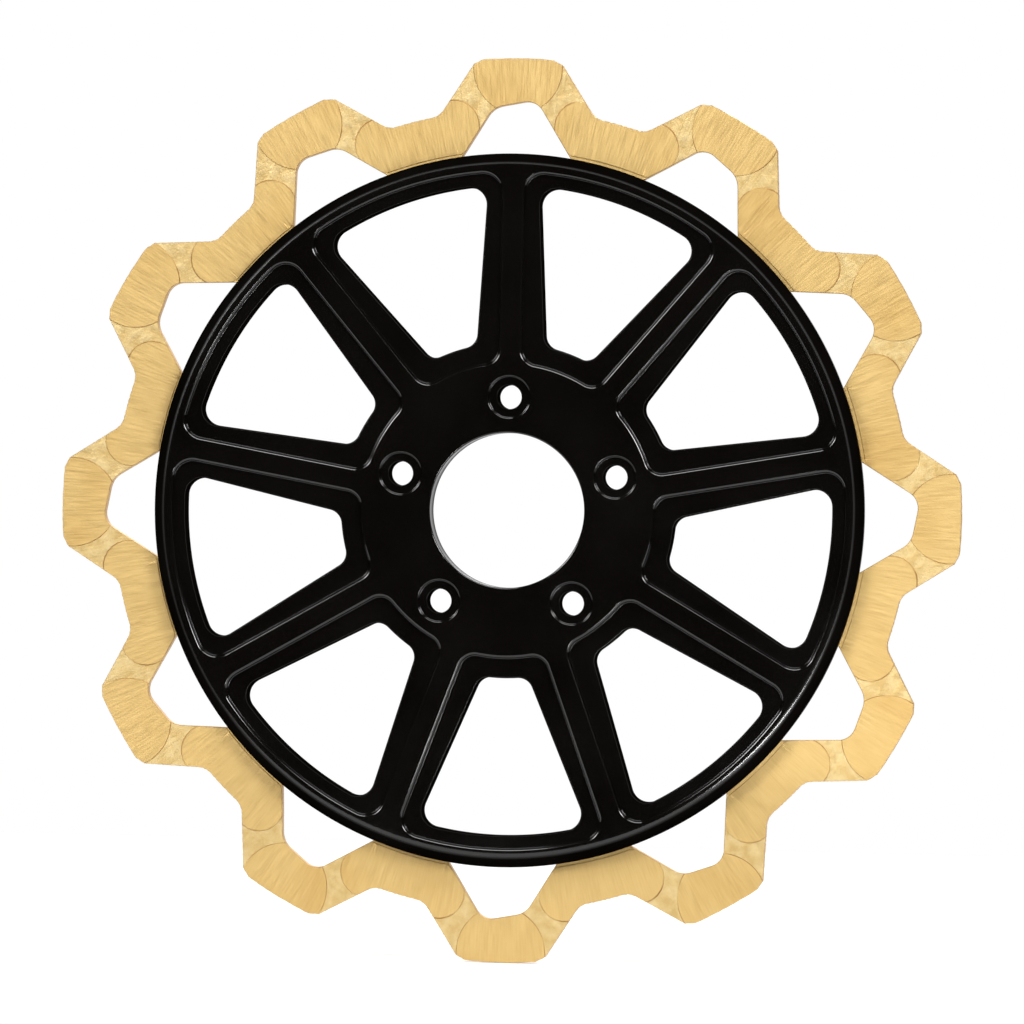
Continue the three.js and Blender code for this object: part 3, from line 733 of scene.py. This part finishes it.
def gold_nitride():
    """Gold nitride on ground steel: a fine radial grain on the lands with darker honey patches,
    a paler mottled floor in the pockets, and painted shade: brown lines along the lands' edges where the
    pockets step down."""
    material, tree, surface = finish_nodes("ring_gold", 0.42, 0.6)
    place = metal_place(tree)
    grain = mottle(tree, radial_grain(tree, place, 280, 110), 1, 3, 0.3, 0.7)
    honey = mottle(tree, place, 24, 4, 0.5, 0.78)
    land = tint(tree, grain, (0.538, 0.361, 0.13), (0.58, 0.403, 0.155))
    land = tint(tree, both(tree, honey, 0.6), land, (0.47, 0.277, 0.0756))
    cast = mottle(tree, place, 260, 5, 0.35, 0.68)
    floor_tone = tint(tree, cast, (0.512, 0.353, 0.134), (0.605, 0.462, 0.218))
    tone = tint(tree, mark(tree, "pocket"), land, floor_tone)
    # Painted shade: the lands' edges are darkened to brown in place of the shadow that the pocket's step
    # casts.
    painted_step_shade = both(tree, mark(tree, "land_edge"), mottle(tree, place, 90, 3, 0.35, 0.6))
    tone = tint(tree, both(tree, painted_step_shade, 0.8), tone, (0.26, 0.12, 0.03))
    tone = tint(tree, both(tree, mark(tree, "cut_edge"), 0.75), tone, (0.42, 0.22, 0.06))
    tree.links.new(tone, surface.inputs["Base Color"])
    rough = tree.nodes.new("ShaderNodeMapRange")
    rough.inputs["To Min"].default_value = 0.36
    rough.inputs["To Max"].default_value = 0.5
    tree.links.new(grain, rough.inputs["Value"])
    tree.links.new(rough.outputs["Result"], surface.inputs["Roughness"])
    ground = relief(tree, surface, grain, 0.08, 0.0001)
    relief(tree, surface, both(tree, mark(tree, "pocket"), cast), 0.5, 0.0003, after=ground)
    return material


machined_piece(
    "gold_ring", [(ring_section, True, True)], gold_nitride(), "ring_body", "friction_ring",
    marks=ring_marks,
)

# ---------------------------------------------------------------------------------------------
# Drive stations, twelve of each piece. A turned steel bobbin stands in every slotted ear; behind
# it a wave washer presses the ring forward, and a flat washer and a button-head screw, driven
# from the rear into the rim, hold the stack together.
# ---------------------------------------------------------------------------------------------
SCREW_HEAD_REAR, SCREW_HEAD_FRONT, SCREW_TIP = -7.95, -5.2, 7.0
SCREW_HEAD_RADIUS, SCREW_CROWN_RADIUS, SCREW_CROWN_RISE = 4.75, 2.7, 1.95
SHANK_RADIUS, SCREW_BREAK = 2.5, 0.2
THREAD_START, THREAD_STOP, THREAD_STEP, THREAD_DEPTH = 2.6, 6.4, 0.4, 0.3
SOCKET_FLATS, SOCKET_FLOOR, SOCKET_MOUTH = 3, -6.35, 2.05


def turned_fixing(profile, sides, wave=0.0):
    """A profile of (radius, height) turned about a station's own axis at the top of the rim. wave
    lifts and lowers the height three times round. A third entry in a profile point is the share
    of a hexagon in its radius."""
    profile = np.asarray(profile, float)
    angle = np.linspace(0, 2 * math.pi, sides, endpoint=False)[None]
    hexagon = math.cos(math.pi / 6) / np.cos((angle + math.pi / 6) % (math.pi / 3) - math.pi / 6)
    share = profile[:, 2:3] if profile.shape[1] > 2 else np.zeros((len(profile), 1))
    radius = profile[:, :1] * (1 - share + share * hexagon)
    height = profile[:, 1:2] + wave * np.sin(3 * angle)
    return rotor_frame(radius * np.sin(angle), STATION_RADIUS + radius * np.cos(angle), height)


def washer_section(inner, outer, rear, front, edge):
    """Section of a turned ring with its four corners broken."""
    return [
        (inner, rear + edge), (inner + edge, rear), (outer - edge, rear), (outer, rear + edge),
        (outer, front - edge), (outer - edge, front), (inner + edge, front), (inner, front - edge),
    ]


def turned_steel(name, colour, dark, roughness):
    """Turned or pressed steel: slow patches of darker metal and a fine scratchy grain."""
    material, tree, surface = finish_nodes(name, roughness, 1.0)
    place = metal_place(tree)
    patches = mottle(tree, place, 420, 4, 0.35, 0.7)
    tree.links.new(tint(tree, patches, colour, dark), surface.inputs["Base Color"])
    fine = mottle(tree, place, 2600, 3, 0.3, 0.7)
    span = tree.nodes.new("ShaderNodeMapRange")
    span.inputs["To Min"].default_value = roughness - 0.06
    span.inputs["To Max"].default_value = roughness + 0.1
    tree.links.new(fine, span.inputs["Value"])
    tree.links.new(span.outputs["Result"], surface.inputs["Roughness"])
    relief(tree, surface, fine, 0.1, 0.00005)
    return material


head_turn = np.linspace(0, math.pi / 2, 9)
dome = np.stack([
    SCREW_CROWN_RADIUS + (SCREW_HEAD_RADIUS - SCREW_CROWN_RADIUS) * np.sin(head_turn),
    SCREW_HEAD_REAR + SCREW_CROWN_RISE * (1 - np.cos(head_turn)),
], axis=-1)
socket = SOCKET_FLATS / math.sqrt(3)
thread_turns = np.arange(THREAD_START, THREAD_STOP, THREAD_STEP)
screw_profile = [
    (0, SOCKET_FLOOR + 0.1, 1), (socket, SOCKET_FLOOR, 1),
    (socket, SCREW_HEAD_REAR + SCREW_BREAK, 1), (SOCKET_MOUTH, SCREW_HEAD_REAR, 0),
    *[(radius, height, 0) for radius, height in dome],
    (SCREW_HEAD_RADIUS, SCREW_HEAD_FRONT - SCREW_BREAK, 0),
    (SCREW_HEAD_RADIUS - SCREW_BREAK, SCREW_HEAD_FRONT, 0),
    (SHANK_RADIUS + SCREW_BREAK, SCREW_HEAD_FRONT, 0),
    (SHANK_RADIUS, SCREW_HEAD_FRONT + SCREW_BREAK, 0),
    *[(SHANK_RADIUS - THREAD_DEPTH * (i % 2), height, 0) for i, height in enumerate(thread_turns)],
    (SHANK_RADIUS, SCREW_TIP - 0.5, 0), (SHANK_RADIUS - 0.5, SCREW_TIP, 0), (0, SCREW_TIP, 0),
]
bobbin = washer_section(inner=2.8, outer=4.0, rear=-3.6, front=2.0, edge=0.2)
wave_ring = washer_section(inner=4.3, outer=5.8, rear=-3.35, front=-3.05, edge=0.06)
flat_ring = washer_section(inner=2.8, outer=5.8, rear=-4.9, front=-3.9, edge=0.15)
fixings = {
    "drive_bobbin": (turned_fixing(bobbin, 48), True),
    "wave_washer": (turned_fixing(wave_ring, 72, wave=0.25), True),
    "retaining_washer": (turned_fixing(flat_ring, 48), True),
    "ring_screw": (turned_fixing(screw_profile, 72), False),
}
steels = {
    "drive_bobbin": ("bobbin_steel", (0.60, 0.59, 0.57), (0.42, 0.40, 0.37), 0.3),
    "wave_washer": ("spring_steel", (0.34, 0.32, 0.30), (0.2, 0.18, 0.17), 0.36),
    "retaining_washer": ("washer_steel", (0.66, 0.66, 0.65), (0.48, 0.48, 0.47), 0.27),
    "ring_screw": ("screw_steel", (0.55, 0.55, 0.54), (0.36, 0.35, 0.34), 0.28),
}
for kind, (shape, closed) in fixings.items():
    slot, colour, dark, roughness = steels[kind]
    finish = turned_steel(f"{slot}_finish", colour, dark, roughness)
    for station in range(STATIONS):
        node = f"{kind}_{station + 1:02d}"
        patch = (spun(shape, STATION_STEP * (station + 0.5)), closed, True)
        fixing = machined_piece(f"{node}_turned", [patch], finish, "carrier_body", node)
        if kind == "wave_washer":
            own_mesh(fixing)

# ---------------------------------------------------------------------------------------------
# Studio: a plain pale floor under the lowest lobe, soft boxes to the sides so that the flat black
# face stays dark and only its rounded edges catch light, and a long lens almost square on.
# ---------------------------------------------------------------------------------------------
FLOOR_HALF, FLOOR_SHIFT, FLOOR_HEIGHT, FLOOR_LINES = 0.7, 0.3, -0.1651, 9
CAMERA_AIM, CAMERA_DISTANCE = (0.00077, 0.001175, -0.00055), 2.9197


def pale_floor():
    """Matt pale floor with the faintest cloudiness."""
    material, tree, surface = finish_nodes("pale_floor", 0.7, 0.0)
    cloud = mottle(tree, metal_place(tree), 3, 2, 0.3, 0.7)
    tone = tint(tree, cloud, (0.66, 0.66, 0.66), (0.7, 0.7, 0.7))
    tree.links.new(tone, surface.inputs["Base Color"])
    surface.inputs["Emission Color"].default_value = (1, 1, 1, 1)
    surface.inputs["Emission Strength"].default_value = 0.3
    return material


floor_mesh = bpy.data.meshes.new("studio_floor")
floor_grid = FLOOR_HALF * np.linspace(-1, 1, FLOOR_LINES)
floor_x, floor_y = np.meshgrid(floor_grid, floor_grid, indexing="ij")
floor_points = np.stack([floor_x, floor_y + FLOOR_SHIFT, np.full_like(floor_x, FLOOR_HEIGHT)], axis=-1)
floor_quads = lattice(FLOOR_LINES, FLOOR_LINES, False, False)
floor_mesh.from_pydata(floor_points.reshape(-1, 3), [], floor_quads.tolist())
floor_mesh.materials.append(pale_floor())
floor = bpy.data.objects.new("studio_floor", floor_mesh)
bpy.context.scene.collection.objects.link(floor)


def soft_box(name, place, width, height, watts):
    """A rectangular soft box that faces the rotor."""
    light = bpy.data.lights.new(name, "AREA")
    light.shape = "RECTANGLE"
    light.size, light.size_y, light.energy = width, height, watts
    box = bpy.data.objects.new(name, light)
    box.location = place
    box.rotation_mode = "QUATERNION"
    box.rotation_quaternion = (-Vector(place)).to_track_quat("-Z", "Y")
    bpy.context.scene.collection.objects.link(box)


soft_box("key_box", (1.2, -1.5, 0.8), 0.7, 0.5, 32)
soft_box("fill_box", (-1.2, -1.5, 0.75), 0.7, 0.5, 26)
soft_box("top_box", (0.1, -0.62, 0.8), 0.7, 0.4, 9)
soft_box("edge_strip", (0.29, -1.0, -0.27), 0.4, 0.02, 2.0)
soft_box("rear_box", (0.6, 2.2, 1.6), 1.6, 1.2, 40)

world = bpy.data.worlds.new("studio_air")
bpy.context.scene.world = world
world.use_nodes = True
air = world.node_tree
background = air.nodes["Background"]
heading = air.nodes.new("ShaderNodeTexCoord")
parts = air.nodes.new("ShaderNodeSeparateXYZ")
air.links.new(heading.outputs["Generated"], parts.inputs[0])
behind = air.nodes.new("ShaderNodeMapRange")
behind.inputs["From Min"].default_value = -0.05
behind.inputs["From Max"].default_value = 0.5
behind.inputs["To Min"].default_value = 0.012
behind.inputs["To Max"].default_value = 0.9
air.links.new(parts.outputs["Y"], behind.inputs["Value"])
ray = air.nodes.new("ShaderNodeLightPath")
seen = air.nodes.new("ShaderNodeMix")
seen.inputs[3].default_value = 1.0
air.links.new(ray.outputs["Is Camera Ray"], seen.inputs[0])
air.links.new(behind.outputs["Result"], seen.inputs[2])
background.inputs["Color"].default_value = (1, 1, 1, 1)
air.links.new(seen.outputs[0], background.inputs["Strength"])

azimuth, elevation, roll = math.radians(6.4), math.radians(0.05), math.radians(1.15)
back = Vector((
    math.sin(azimuth) * math.cos(elevation),
    -math.cos(azimuth) * math.cos(elevation),
    math.sin(elevation),
))
lens = bpy.data.cameras.new("long_lens")
lens.sensor_width = 36
lens.lens = 281.25
camera = bpy.data.objects.new("long_lens", lens)
camera.rotation_mode = "QUATERNION"
camera.rotation_quaternion = (-back).to_track_quat("-Z", "Y") @ Quaternion((0, 0, 1), roll)
camera.location = Vector(CAMERA_AIM) + CAMERA_DISTANCE * back
bpy.context.scene.collection.objects.link(camera)
bpy.context.scene.camera = camera
bpy.context.scene.view_settings.view_transform = "Standard"
